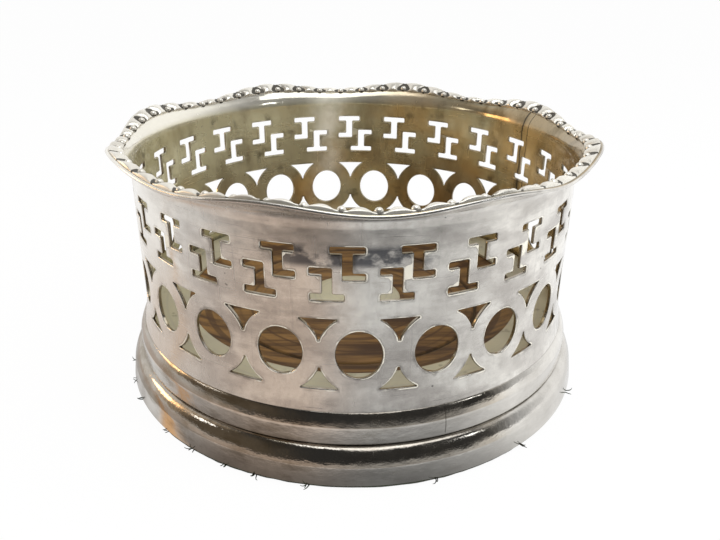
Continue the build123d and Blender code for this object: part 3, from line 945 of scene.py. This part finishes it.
class Graph:
    """Node tree of a material or the world, with a short call for each kind of node. Lengths in metres."""

    def __init__(self, owner, coordinates="Object"):
        self.owner = owner
        self.owner.use_nodes = True
        self.tree = self.owner.node_tree
        self.tree.nodes.clear()
        self.place = self.value("ShaderNodeTexCoord", {}, coordinates)

    def node(self, kind, inputs, **settings):
        """New node with its settings, and each input set to a plain value or linked to another node."""
        made = self.tree.nodes.new(kind)
        for key, value in settings.items():
            setattr(made, key, value)
        for socket, value in inputs.items():
            if isinstance(value, Value):
                self.tree.links.new(value.socket, made.inputs[socket])
            else:
                made.inputs[socket].default_value = value
        return made

    def value(self, kind, inputs, output=0, **settings):
        """One output of a new node."""
        return Value(self, self.node(kind, inputs, **settings).outputs[output])

    def mark(self, name):
        """Number that the mesh carries."""
        return self.value("ShaderNodeAttribute", {}, "Fac", attribute_name=name)

    def xyz(self):
        """The object's own coordinates, one by one."""
        return [Value(self, axis) for axis in self.node("ShaderNodeSeparateXYZ", {0: self.place}).outputs]

    def from_axis(self):
        """Distance from the coaster's axis."""
        x, y, _ = self.xyz()
        return self.math("SQRT", x * x + y * y)

    def noise(self, scale, detail=3.0, stretch=(1.0, 1.0, 1.0), rough=0.55):
        """Cloudy noise over the object's own coordinates, in steps per metre."""
        place = self.value("ShaderNodeMapping", {"Vector": self.place, "Scale": stretch})
        inputs = {"Vector": place, "Scale": scale, "Detail": detail, "Roughness": rough}
        return self.value("ShaderNodeTexNoise", inputs, "Fac")

    def turned_lines(self, scale, detail):
        """Uneven lines round the coaster's axis, in steps per metre away from it."""
        inputs = {"W": self.from_axis(), "Scale": scale, "Detail": detail}
        return self.value("ShaderNodeTexNoise", inputs, "Fac", noise_dimensions="1D")

    def spots(self, scale, size):
        """Small round spots, one in each cell, where size is a share of the cell."""
        off = self.value("ShaderNodeTexVoronoi", {"Vector": self.place, "Scale": scale}, "Distance")
        return self.ramp(off, size, size * 0.4)

    def seam(self, angle, radius, width):
        """Thin upright line that wanders a little, at an angle round the coaster."""
        x, y, _ = self.xyz()
        sine, cosine = math.sin(angle), math.cos(angle)
        wander = (self.noise(160, 2.0) - 0.5) * (1.6 * MM)
        off = abs(x * cosine + y * sine + wander)
        here = x * sine - y * cosine > 0.5 * radius
        return self.ramp(off, width, 0.3 * width) * here

    def math(self, operation, first, second=0.0):
        """Sum, product or other plain function."""
        return self.value("ShaderNodeMath", {0: first, 1: second}, operation=operation)

    def most(self, first, second):
        """The larger of two."""
        return self.math("MAXIMUM", first, second)

    def ramp(self, value, low, high, start=0.0, end=1.0):
        """Smooth rise from start to end as a value goes from low to high."""
        inputs = {"Value": value, "From Min": low, "From Max": high, "To Min": start, "To Max": end}
        return self.value("ShaderNodeMapRange", inputs, "Result", interpolation_type="SMOOTHSTEP")

    def mix(self, share, first, second):
        """Colour between two colours."""
        inputs = {0: share, 6: paint(first), 7: paint(second)}
        return self.value("ShaderNodeMix", inputs, 2, data_type="RGBA")

    def coats(self, tone, *layers):
        """Colour under one coat after another, where a coat is its share and its colour."""
        for share, coat in layers:
            tone = self.mix(share, tone, coat)
        return tone

    def bump(self, height, strength, distance, normal=None):
        """Surface relief, added to another where there is one."""
        inputs = {"Height": height, "Strength": strength, "Distance": distance}
        if normal is not None:
            inputs["Normal"] = normal
        return self.value("ShaderNodeBump", inputs)

    def ray(self, kind):
        """1 for rays of a kind, and 0 for the others."""
        return self.value("ShaderNodeLightPath", {}, f"Is {kind} Ray")

    def seen_directly(self):
        """1 for what the camera sees itself or in metal and glass, and 0 for light on matt surfaces."""
        return self.most(self.most(self.ray("Camera"), self.ray("Glossy")), self.ray("Transmission"))

    def surface(self, shader):
        """The material, with a shader as its surface."""
        self.node("ShaderNodeOutputMaterial", {"Surface": shader})
        return self.owner

    def finish(self, **inputs):
        """The material, with a plain surface."""
        named = {key.replace("_", " "): value for key, value in inputs.items()}
        return self.surface(self.value("ShaderNodeBsdfPrincipled", named))

    def blend(self, share, first, second):
        """The material, with a surface between two shaders."""
        return self.surface(self.value("ShaderNodeMixShader", {0: share, 1: first, 2: second}))


def paint(value):
    """Colour with full cover, or the node's output that gives it."""
    return value if isinstance(value, Value) else (*value, 1.0)


def plate(g, finish):
    """Colour, roughness and relief of old silver plate: smudges, small clouds, thin dirt and a fine mottle in
    the colour, upright and level scratches and pits in all three, and a slow unevenness of the sheet."""
    smudge = g.ramp(g.noise(39, 5.0, (1.0, 1.0, 1.5)), 0.42, 0.62)
    cloud = g.ramp(g.noise(130, 4.0, (0.6, 0.6, 1.6)), 0.45, 0.65)
    grime = g.ramp(g.noise(25, 6.0, (1.0, 1.0, 2.2), 0.65), 0.50, 0.64)
    mottle = g.ramp(g.noise(290, 6.0, (1.0, 1.0, 0.6), 0.70), 0.42, 0.66)
    upright = g.noise(1.0, 2.0, (1500.0, 1500.0, 45.0))
    level = g.noise(1.0, 2.0, (70.0, 70.0, 2600.0))
    scratch = g.ramp(g.most(upright, level), 0.62, 0.74)
    pit = g.spots(430, 0.13) * g.ramp(g.noise(90, 1.0), 0.64, 0.70)
    tone = g.coats(
        finish.silver,
        (smudge * 0.48, finish.silver_dull),
        (cloud * 0.40, finish.silver_dull),
        (grime * 0.36, finish.grime),
        (mottle * 0.20, finish.grime),
        (scratch * 0.07, finish.patina),
        (pit * 0.85, finish.patina),
    )
    rough = g.ramp(smudge, 0.0, 1.0, 0.11, 0.25) + scratch * 0.10
    normal = g.bump(scratch * -0.5 - pit, 0.35, 0.00003)
    normal = g.bump(g.noise(48, 3.0, (1.0, 1.0, 1.6)), 0.6, 0.00055, normal)
    return tone, rough, normal


def gallery_finish(finish):
    """Silver plate outside, with painted light that makes it brighter on the left, and a row of dark
    smudges at the front.

    Inside, olive and amber tarnish with brown streaks and dark spots, a flare with a painted highlight that
    is strongest on the left and brown on the right, a painted reflection as a paler upright band at the back
    and two solder seams. The cut walls of the openings are dark with tarnish and painted shade, and their
    edges are partly worn bright with painted glints and partly dark with dirt and painted shade."""
    g = Graph(bpy.data.materials.new("gallery_silver"))
    tone, rough, normal = plate(g, finish)
    x, y, z = g.xyz()
    within = g.ramp(g.mark("inside"), 0.35, 0.85)
    rim, cut = g.mark("rim"), g.mark("cut")

    front = g.ramp(abs(x), 0.022, 0.010) * (y < 0.0)
    row = g.ramp(abs(z - SMUDGE_HEIGHT), 0.0030, 0.0012) * front
    bruise = row * g.ramp(g.noise(120, 5.0, (1.0, 1.0, 1.6)), 0.38, 0.47)
    # Painted light: the outside takes more of the bright silver towards the left.
    painted_left_light = g.ramp(x, -0.030, -0.050, 0.0, 0.70)
    tone = g.coats(tone, (painted_left_light, finish.silver), (bruise * 0.85, finish.bruise))

    patch = g.ramp(g.noise(34, 4.0) + x * 3.0, 0.40, 0.66)
    streak = g.ramp(g.noise(75, 6.0, (1.0, 1.0, 0.40), 0.66), 0.44, 0.64)
    spot = g.ramp(g.noise(150, 4.0), 0.58, 0.74)
    # Painted highlight on the flare inside, strongest on the left: the stain gives way to the plate's tone
    # mixed with bright.
    pale = g.ramp(rim, 0.10, 0.48) * g.ramp(x, 0.030, -0.040, 0.38, 0.90)
    brown = g.ramp(rim, 0.08, 0.40) * g.ramp(x, 0.012, 0.040) * g.ramp(streak, 0.0, 1.0, 0.55, 0.90)
    # Painted reflection: a paler upright band inside at the back, fading downwards.
    painted_reflection_band = g.ramp(abs(x + g.noise(40, 4.0) * 0.016), 0.0110, 0.0) * g.ramp(z, 0.018, 0.056, 0.40, 1.0)
    painted_reflection_band = painted_reflection_band * g.ramp(g.noise(70, 5.0), 0.34, 0.62, 0.25, 1.0)
    stain = g.coats(
        finish.olive,
        (patch, finish.amber),
        (streak * 0.55, finish.soot),
        (spot * 0.55, finish.patina),
        (pale, g.mix(0.5, tone, finish.bright)),
        (brown, finish.soot),
        (painted_reflection_band * g.ramp(y, 0.0, 0.01, 0.0, 0.85), finish.bright),
    )

    # Dirt and painted shade: broken dark rims round the openings.
    dirt = g.ramp(cut, 0.45, 0.95) * g.ramp(g.noise(200, 2.0), 0.40, 0.62)
    # Wear and painted glints: broken bright rims round the openings, less metallic so that they show white.
    worn = g.ramp(cut, 0.78, 0.92) * g.ramp(g.noise(240, 2.0), 0.40, 0.58, 0.0, 0.95)
    # Brown tarnish and painted shade on the cut walls of the openings.
    cut_wall_tarnish_and_shade = g.ramp(g.mark("cut_wall_tarnish_and_shade"), 0.5, 0.9) * g.ramp(g.noise(170, 3.0), 0.35, 0.60, 0.55, 0.95)
    wide_seam, thin_seam = (g.seam(math.radians(angle), 0.055, width) for angle, width in INNER_SEAMS)
    seam = g.most(wide_seam, thin_seam) * within * g.ramp(z, 0.034, 0.040)
    tone = g.coats(
        tone,
        (within, stain),
        (dirt * 0.45, finish.patina),
        (worn * g.ramp(within, 0.0, 1.0, 1.0, 0.25), finish.bright),
        (cut_wall_tarnish_and_shade, finish.soot),
        (seam * 0.9, finish.patina),
    )
    rough = rough + within * g.ramp(rim, 0.1, 0.5, 0.06, -0.04)
    # Less metal in the painted reflection band and in the painted glints of the worn edges, so that they show
    # pale.
    metal = g.ramp(within, 0.0, 1.0, 0.92, 0.70) - painted_reflection_band * within * (y > 0.0) * 0.45
    metal = metal * g.ramp(worn, 0.2, 0.9, 1.0, 0.30)
    return g.finish(Base_Color=tone, Metallic=metal, Roughness=rough, Normal=normal)


def border_finish(finish):
    """Bright silver plate with dark dirt in the hollows, and painted shade on the lower half of each bead."""
    g = Graph(bpy.data.materials.new("border_silver"))
    tone, rough, normal = plate(g, finish)
    hollow = g.ramp(g.mark("hollow") + g.noise(500, 2.0) * 0.30, 0.35, 0.70)
    tone = g.coats(tone, (0.45, finish.bright), (hollow * 0.93, finish.patina))
    rough = rough + g.ramp(hollow, 0.0, 1.0, 0.12, 0.35)
    return g.finish(Base_Color=tone, Metallic=0.72, Roughness=rough, Normal=normal)


def foot_finish(finish, sizes):
    """Silver plate with painted light that makes it brighter on the right, painted dark reflections on the
    shoulders that fade out on the right, brown stains on the left, dirt and painted shade in the creases,
    and one upright solder seam above the step."""
    g = Graph(bpy.data.materials.new("foot_silver"))
    tone, rough, normal = plate(g, finish)
    x, _, z = g.xyz()
    # Painted dark reflection on the shoulders, fading out towards the right: amber at its edges and
    # blue-black in its middle.
    painted_dark_reflection = g.ramp(g.mark("painted_dark_reflection") + g.noise(60, 4.0) * 0.6, 0.55, 1.0) * g.ramp(x, 0.042, 0.016)
    # Dirt and painted shade in the groove and at the seat.
    crease = g.mark("crease") * g.ramp(g.noise(110, 3.0), 0.2, 0.6, 0.45, 1.0)
    seam = g.seam(sizes.seam, 0.06, 0.00016) * g.ramp(z, 0.0103, 0.0109)
    streak = g.noise(85, 6.0, (1.0, 1.0, 3.0), 0.65)
    stain = g.ramp(streak, 0.48, 0.66) * g.ramp(x, 0.030, -0.020, 0.10, 0.42)
    tone = g.coats(
        tone,
        # Painted light: more of the bright silver towards the right.
        (g.ramp(x, -0.03, 0.03, 0.2, 0.5), finish.silver),
        (g.ramp(painted_dark_reflection, 0.0, 0.4) * 0.25, finish.amber),
        (g.ramp(painted_dark_reflection, 0.25, 0.8) * 0.40, finish.bruise),
        (crease * 0.9, finish.patina),
        (seam * 0.55, finish.patina),
        (stain, finish.soot),
    )
    rough = rough * g.ramp(streak, 0.35, 0.65, 0.50, 1.05)
    normal = g.bump(g.noise(150, 5.0, (1.0, 1.0, 2.0), 0.65), 0.5, 0.00028, normal)
    return g.finish(Base_Color=tone, Metallic=1.0, Roughness=rough, Normal=normal)


def dull_finish(name, finish, shade):
    """Dull tarnished plate with turned lines and dark spots."""
    g = Graph(bpy.data.materials.new(name))
    lines = g.turned_lines(1400.0, 2.0)
    cloud = g.ramp(g.noise(70, 5.0), 0.35, 0.70)
    tone = g.coats(
        shade,
        (cloud * 0.30, finish.grime),
        (g.ramp(lines, 0.5, 0.8) * 0.25, finish.grime),
        (g.ramp(g.noise(420, 2.0), 0.62, 0.76) * 0.4, finish.patina),
    )
    rough = g.ramp(cloud, 0.0, 1.0, 0.40, 0.55)
    normal = g.bump(lines, 0.25, 0.00004)
    return g.finish(Base_Color=tone, Metallic=0.45, Roughness=rough, Normal=normal)


def wood_finish(finish):
    """Dark polished hardwood: straight grain along X, turned rings round the middle, darker in the groove."""
    g = Graph(bpy.data.materials.new("turned_wood"))
    grain = g.noise(1.0, 6.0, (20.0, 290.0, 290.0), 0.62)
    pore = g.noise(1.0, 3.0, (160.0, 2400.0, 2400.0), 0.6)
    rings = g.turned_lines(330.0, 4.0)
    tone = g.coats(
        finish.wood_dark,
        (g.ramp(grain, 0.36, 0.62), finish.wood),
        (g.ramp(rings, 0.50, 0.62) * 0.70, finish.wood_dark),
        (g.ramp(pore, 0.54, 0.68) * 0.45, finish.wood_dark),
        (g.mark("crease") * 0.85, finish.patina),
    )
    rough = g.ramp(g.noise(60, 3.0), 0.3, 0.7, 0.36, 0.52)
    normal = g.bump(rings - pore * 0.4, 0.4, 0.00012)
    return g.finish(Base_Color=tone, Roughness=rough, Normal=normal, Specular_IOR_Level=0.15)


def brass_finish(finish):
    """Dull brass with spots and a fine grain."""
    g = Graph(bpy.data.materials.new("dull_brass"))
    cloud = g.ramp(g.noise(180, 4.0), 0.35, 0.70)
    tone = g.coats(finish.brass, (cloud * 0.4, finish.grime), (g.spots(900, 0.22) * 0.5, finish.patina))
    rough = g.ramp(cloud, 0.0, 1.0, 0.32, 0.5)
    normal = g.bump(g.noise(1500, 2.0), 0.25, 0.00004)
    return g.finish(Base_Color=tone, Metallic=1.0, Roughness=rough, Normal=normal)


def baize_finish(finish):
    """Felt: matted fibres in two shades, a cloudy nap, brown worn patches and a soft sheen."""
    g = Graph(bpy.data.materials.new("baize_felt"))
    mat = g.noise(1500, 4.0)
    nap = g.ramp(g.noise(330, 5.0, rough=0.7), 0.38, 0.64)
    worn = g.ramp(g.noise(45, 4.0), 0.40, 0.70)
    tone = g.coats(
        finish.baize,
        (g.ramp(mat, 0.35, 0.65), finish.fibre),
        (nap * 0.5, finish.fibre),
        (worn * 0.35, finish.wood_dark),
    )
    normal = g.bump(mat, 0.8, 0.0003)
    return g.finish(Base_Color=tone, Roughness=0.95, Normal=normal, Sheen_Weight=0.3, Sheen_Roughness=0.6)


def fibre_finish(finish):
    """Loose wool fibres, some green and some brown."""
    g = Graph(bpy.data.materials.new("baize_fibre"))
    green = g.ramp(g.noise(95, 2.0), 0.42, 0.58)
    tone = g.coats(finish.fibre, (green, finish.baize), (g.noise(2200, 2.0) * 0.5, finish.patina))
    return g.finish(Base_Color=tone, Roughness=0.85)


class COASTER_OT_gallery(bpy.types.Operator):
    """Pierced gallery with its skirt and waving rim"""

    bl_idname = "coaster.gallery"
    bl_label = "Pierced Gallery"

    def execute(self, context):
        sizes = context.scene.coaster_gallery
        piece = gallery_piece(sizes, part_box("pierced_gallery")[0].z)
        settle(piece, "silver_gallery", gallery_finish(context.scene.coaster_finish), "pierced_gallery")
        return {"FINISHED"}


class COASTER_OT_border(bpy.types.Operator):
    """Gadroon border in its soldered pieces"""

    bl_idname = "coaster.border"
    bl_label = "Gadroon Border"

    def execute(self, context):
        sizes = context.scene.coaster_border
        sheet = Sheet(context.scene.coaster_gallery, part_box("pierced_gallery")[0].z)
        material = border_finish(context.scene.coaster_finish)
        for index in range(sizes.pieces):
            piece = border_piece(f"border_{index + 1}", sheet, sizes, index)
            piece.data.set_sharp_from_angle(angle=math.radians(65))
            settle(piece, "silver_border", material, f"gadroon_border_{index + 1}")
        return {"FINISHED"}


class COASTER_OT_foot(bpy.types.Operator):
    """Stepped foot moulding"""

    bl_idname = "coaster.foot"
    bl_label = "Foot Moulding"

    def execute(self, context):
        sizes = context.scene.coaster_foot
        piece = foot_piece(sizes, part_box("foot_moulding")[0].z)
        settle(piece, "silver_foot", foot_finish(context.scene.coaster_finish, sizes), "foot_moulding")
        return {"FINISHED"}


class COASTER_OT_floor(bpy.types.Operator):
    """Plated ring round the wooden floor"""

    bl_idname = "coaster.floor"
    bl_label = "Floor Ring"

    def execute(self, context):
        finish = context.scene.coaster_finish
        piece = ring_piece(context.scene.coaster_floor)
        settle(piece, "silver_floor", dull_finish("floor_silver", finish, finish.ring), "floor_ring")
        return {"FINISHED"}


class COASTER_OT_base(bpy.types.Operator):
    """Turned wooden base"""

    bl_idname = "coaster.base"
    bl_label = "Wooden Base"

    def execute(self, context):
        piece = base_piece(context.scene.coaster_floor, context.scene.coaster_foot)
        settle(piece, "turned_wood", wood_finish(context.scene.coaster_finish), "wooden_base")
        return {"FINISHED"}


class COASTER_OT_boss(bpy.types.Operator):
    """Centre boss, and the brass that holds it"""

    bl_idname = "coaster.boss"
    bl_label = "Centre Boss"

    def execute(self, context):
        finish = context.scene.coaster_finish
        piece = boss_piece(context.scene.coaster_floor)
        settle(piece, "silver_boss", dull_finish("boss_silver", finish, finish.boss), "centre_boss")
        brass = brass_finish(finish)
        for name in ("boss_washer", "boss_nut"):
            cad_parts[name].material_slots[0].material = brass
        return {"FINISHED"}


class COASTER_OT_baize(bpy.types.Operator):
    """Baize underside with its loose fibres"""

    bl_idname = "coaster.baize"
    bl_label = "Baize"

    def execute(self, context):
        finish = context.scene.coaster_finish
        felt = settle(baize_piece(), "baize", baize_finish(finish), "baize_pad")
        fibres = settle(fibre_piece(context.scene.coaster_baize), "baize", fibre_finish(finish))
        return {"FINISHED"}


def soft_light(name, place, size, power, tint):
    """Rectangular soft light that faces the coaster."""
    lamp = bpy.data.lights.new(name, "AREA")
    lamp.shape = "RECTANGLE"
    lamp.size, lamp.size_y = size
    lamp.energy = power
    lamp.color = tint
    light = bpy.data.objects.new(name, lamp)
    aim = Vector((0.0, 0.0, 0.03)) - Vector(place)
    light.matrix_world = Matrix.Translation(place) @ aim.to_track_quat("-Z", "Y").to_matrix().to_4x4()
    bpy.context.scene.collection.objects.link(light)
    return light


def white_floor():
    """Wide floor that shows as plain white and keeps a soft shadow: a fan of triangles round its middle."""
    sides = 96
    points = np.concatenate([polar(all_round(sides), 4.0, 0.0), [(0.0, 0.0, 0.0)]])
    row = np.arange(sides)
    floor = make_mesh("floor", points, np.stack([np.full(sides, sides), row, np.roll(row, -1)], axis=-1))
    g = Graph(bpy.data.materials.new("floor_white"))
    matt = g.value("ShaderNodeBsdfDiffuse", {"Color": (0.92, 0.92, 0.92, 1.0)})
    glow = g.value("ShaderNodeEmission", {"Strength": 1.0})
    floor.data.materials.append(g.blend(g.seen_directly() * 0.965, matt, glow))


def shade_card(sizes):
    """Grey card just over the floor that only metal mirrors: a narrow ring of shade round the foot, and a
    wide patch before the coaster that darkens away from it. It is warm on the left, with a bright streak."""
    half, lift = 3.0, 0.0004
    corners = [(-half, -half, lift), (half, -half, lift), (half, half, lift), (-half, half, lift)]
    card = make_mesh("shade_card", np.array(corners), quads=[[0, 1, 2, 3]])
    g = Graph(bpy.data.materials.new("card_grey"))
    x, y, _ = g.xyz()
    away = g.from_axis()
    across = x / away
    way = math.radians(-8.0)
    ahead = (x * math.sin(way) - y * math.cos(way)) / away

    ring = g.ramp(away, 0.088, 0.074)
    level = g.ramp(away, 0.140, 0.280, sizes.card, sizes.room)
    shade = g.ramp(away, 0.064, 0.080, 0.5 * sizes.shade, 1.2 * sizes.shade)
    level = level - ring * (level - shade)
    left = g.ramp(across, -0.2, -0.6, 0.0, 0.8) * g.ramp(y / away, 0.7, -0.1)
    left = left * g.ramp(away, 0.09, 0.16, 1.0, 0.20)
    wide = g.most(g.ramp(ahead, 0.12, 0.95), left)
    close = g.most(g.ramp(ahead, 0.40, 0.97), g.ramp(across, 0.1, 0.7, 0.42, 0.16))
    cover = ring * close + (1.0 - ring) * wide

    aside = abs(x * 0.31 + y * 0.95 + 0.0556)
    streak = g.ramp(aside, 0.0055, 0.0005) * (x < -0.02) * g.ramp(away, 0.26, 0.15)
    tint = g.coats(WHITE, (g.ramp(across, 0.15, -0.35), (1.0, 0.81, 0.685)), (streak, (1.0, 0.62, 0.34)))
    clear = g.value("ShaderNodeBsdfTransparent", {})
    glow = g.value("ShaderNodeEmission", {"Color": tint, "Strength": g.most(level, streak * 0.65)})
    card.data.materials.append(g.blend(g.most(cover, streak), clear, glow))
    for kind in ("camera", "diffuse", "transmission", "volume_scatter", "shadow"):
        setattr(card, f"visible_{kind}", False)


def studio_world(sizes):
    """Plain level of light all round. The camera sees white; metal and glass see white at the back, on the
    right and overhead, and a dark room elsewhere, which is a little lighter and brown on the left."""
    world = bpy.data.worlds.new("studio")
    g = Graph(world, "Generated")
    x, y, z = g.xyz()
    bright = g.most(g.ramp(x * 0.77 + y * 0.64, 0.36, 1.05), g.ramp(y, -0.28, 0.36)) * g.ramp(z, 0.94, 0.70)
    overhead = g.ramp(z, 0.92, 0.97, 0.0, 0.75)
    dim = g.ramp(x, -0.25, -0.85, 0.0, 0.11) + sizes.room
    level = g.most(g.most(g.most(bright, overhead), dim), g.ray("Camera"))
    brown = g.ramp(x, -0.2, -0.7) * g.ramp(y, 0.45, 0.05) * g.ray("Glossy")
    tint = g.mix(brown, WHITE, (1.0, 0.80, 0.58))
    strength = g.value("ShaderNodeMix", {0: g.seen_directly(), 2: sizes.sky, 3: level})
    light = g.value("ShaderNodeBackground", {"Color": tint, "Strength": strength})
    g.node("ShaderNodeOutputWorld", {"Surface": light})
    bpy.context.scene.world = world


def photo_camera(sizes):
    """Camera from its place, tilt, pan and roll."""
    level = math.cos(sizes.tilt)
    forward = Vector((math.sin(sizes.pan) * level, math.cos(sizes.pan) * level, -math.sin(sizes.tilt)))
    right = Vector((math.cos(sizes.pan), -math.sin(sizes.pan), 0.0))
    up = right.cross(forward)
    side = math.cos(sizes.roll) * right + math.sin(sizes.roll) * up
    top = math.cos(sizes.roll) * up - math.sin(sizes.roll) * right
    lens = bpy.data.cameras.new("camera")
    lens.lens = sizes.lens
    lens.sensor_width = 36.0
    lens.clip_start = 0.01
    camera = bpy.data.objects.new("camera", lens)
    turn_matrix = Matrix((side, top, -forward)).transposed().to_4x4()
    camera.matrix_world = Matrix.Translation(sizes.camera) @ turn_matrix
    bpy.context.scene.collection.objects.link(camera)
    bpy.context.scene.camera = camera


class COASTER_OT_stage(bpy.types.Operator):
    """Camera, white floor and soft light"""

    bl_idname = "coaster.stage"
    bl_label = "Stage"

    def execute(self, context):
        sizes = context.scene.coaster_stage
        white_floor()
        shade_card(sizes)
        studio_world(sizes)
        key = soft_light("key_light", (0.34, -0.10, 0.36), (0.30, 0.30), sizes.key, WHITE)
        key.visible_glossy = False
        soft_light("top_light", (0.05, -0.05, 0.40), (0.28, 0.30), sizes.top, (0.96, 0.98, 1.0))
        soft_light("warm_light", (-0.32, 0.04, 0.12), (0.10, 0.08), sizes.warm, (1.0, 0.62, 0.30))
        soft_light("left_window", (-0.28, -0.08, 0.18), (0.045, 0.05), sizes.window, WHITE)
        soft_light("right_window", (0.27, -0.16, 0.23), (0.05, 0.04), sizes.window, (0.92, 0.96, 1.0))
        photo_camera(sizes)
        context.scene.view_settings.view_transform = "Standard"
        return {"FINISHED"}


STEPS = (
    COASTER_OT_gallery,
    COASTER_OT_border,
    COASTER_OT_foot,
    COASTER_OT_floor,
    COASTER_OT_base,
    COASTER_OT_boss,
    COASTER_OT_baize,
    COASTER_OT_stage,
)


class COASTER_PT_panel(bpy.types.Panel):
    """Steps that build the coaster"""

    bl_idname = "COASTER_PT_panel"
    bl_label = "Wine Bottle Coaster"
    bl_space_type = "VIEW_3D"
    bl_region_type = "UI"
    bl_category = "Coaster"

    def draw(self, context):
        for step in STEPS:
            self.layout.operator(step.bl_idname)


SETTINGS = {
    "coaster_gallery": CoasterGallery,
    "coaster_border": CoasterBorder,
    "coaster_foot": CoasterFoot,
    "coaster_floor": CoasterFloor,
    "coaster_baize": CoasterBaize,
    "coaster_finish": CoasterFinish,
    "coaster_stage": CoasterStage,
}


def register():
    """Registers the settings, the steps and the panel."""
    for name, group in SETTINGS.items():
        bpy.utils.register_class(group)
        setattr(bpy.types.Scene, name, bpy.props.PointerProperty(type=group))
    for step in STEPS:
        bpy.utils.register_class(step)
    bpy.utils.register_class(COASTER_PT_panel)


def unregister():
    """Takes back what register did."""
    bpy.utils.unregister_class(COASTER_PT_panel)
    for step in reversed(STEPS):
        bpy.utils.unregister_class(step)
    for name, group in SETTINGS.items():
        delattr(bpy.types.Scene, name)
        bpy.utils.unregister_class(group)


def main():
    """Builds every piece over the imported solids."""
    register()
    bpy.ops.coaster.gallery()
    bpy.ops.coaster.border()
    bpy.ops.coaster.foot()
    bpy.ops.coaster.floor()
    bpy.ops.coaster.base()
    bpy.ops.coaster.boss()
    bpy.ops.coaster.baize()
    bpy.ops.coaster.stage()


if __name__ == "__main__":
    main()
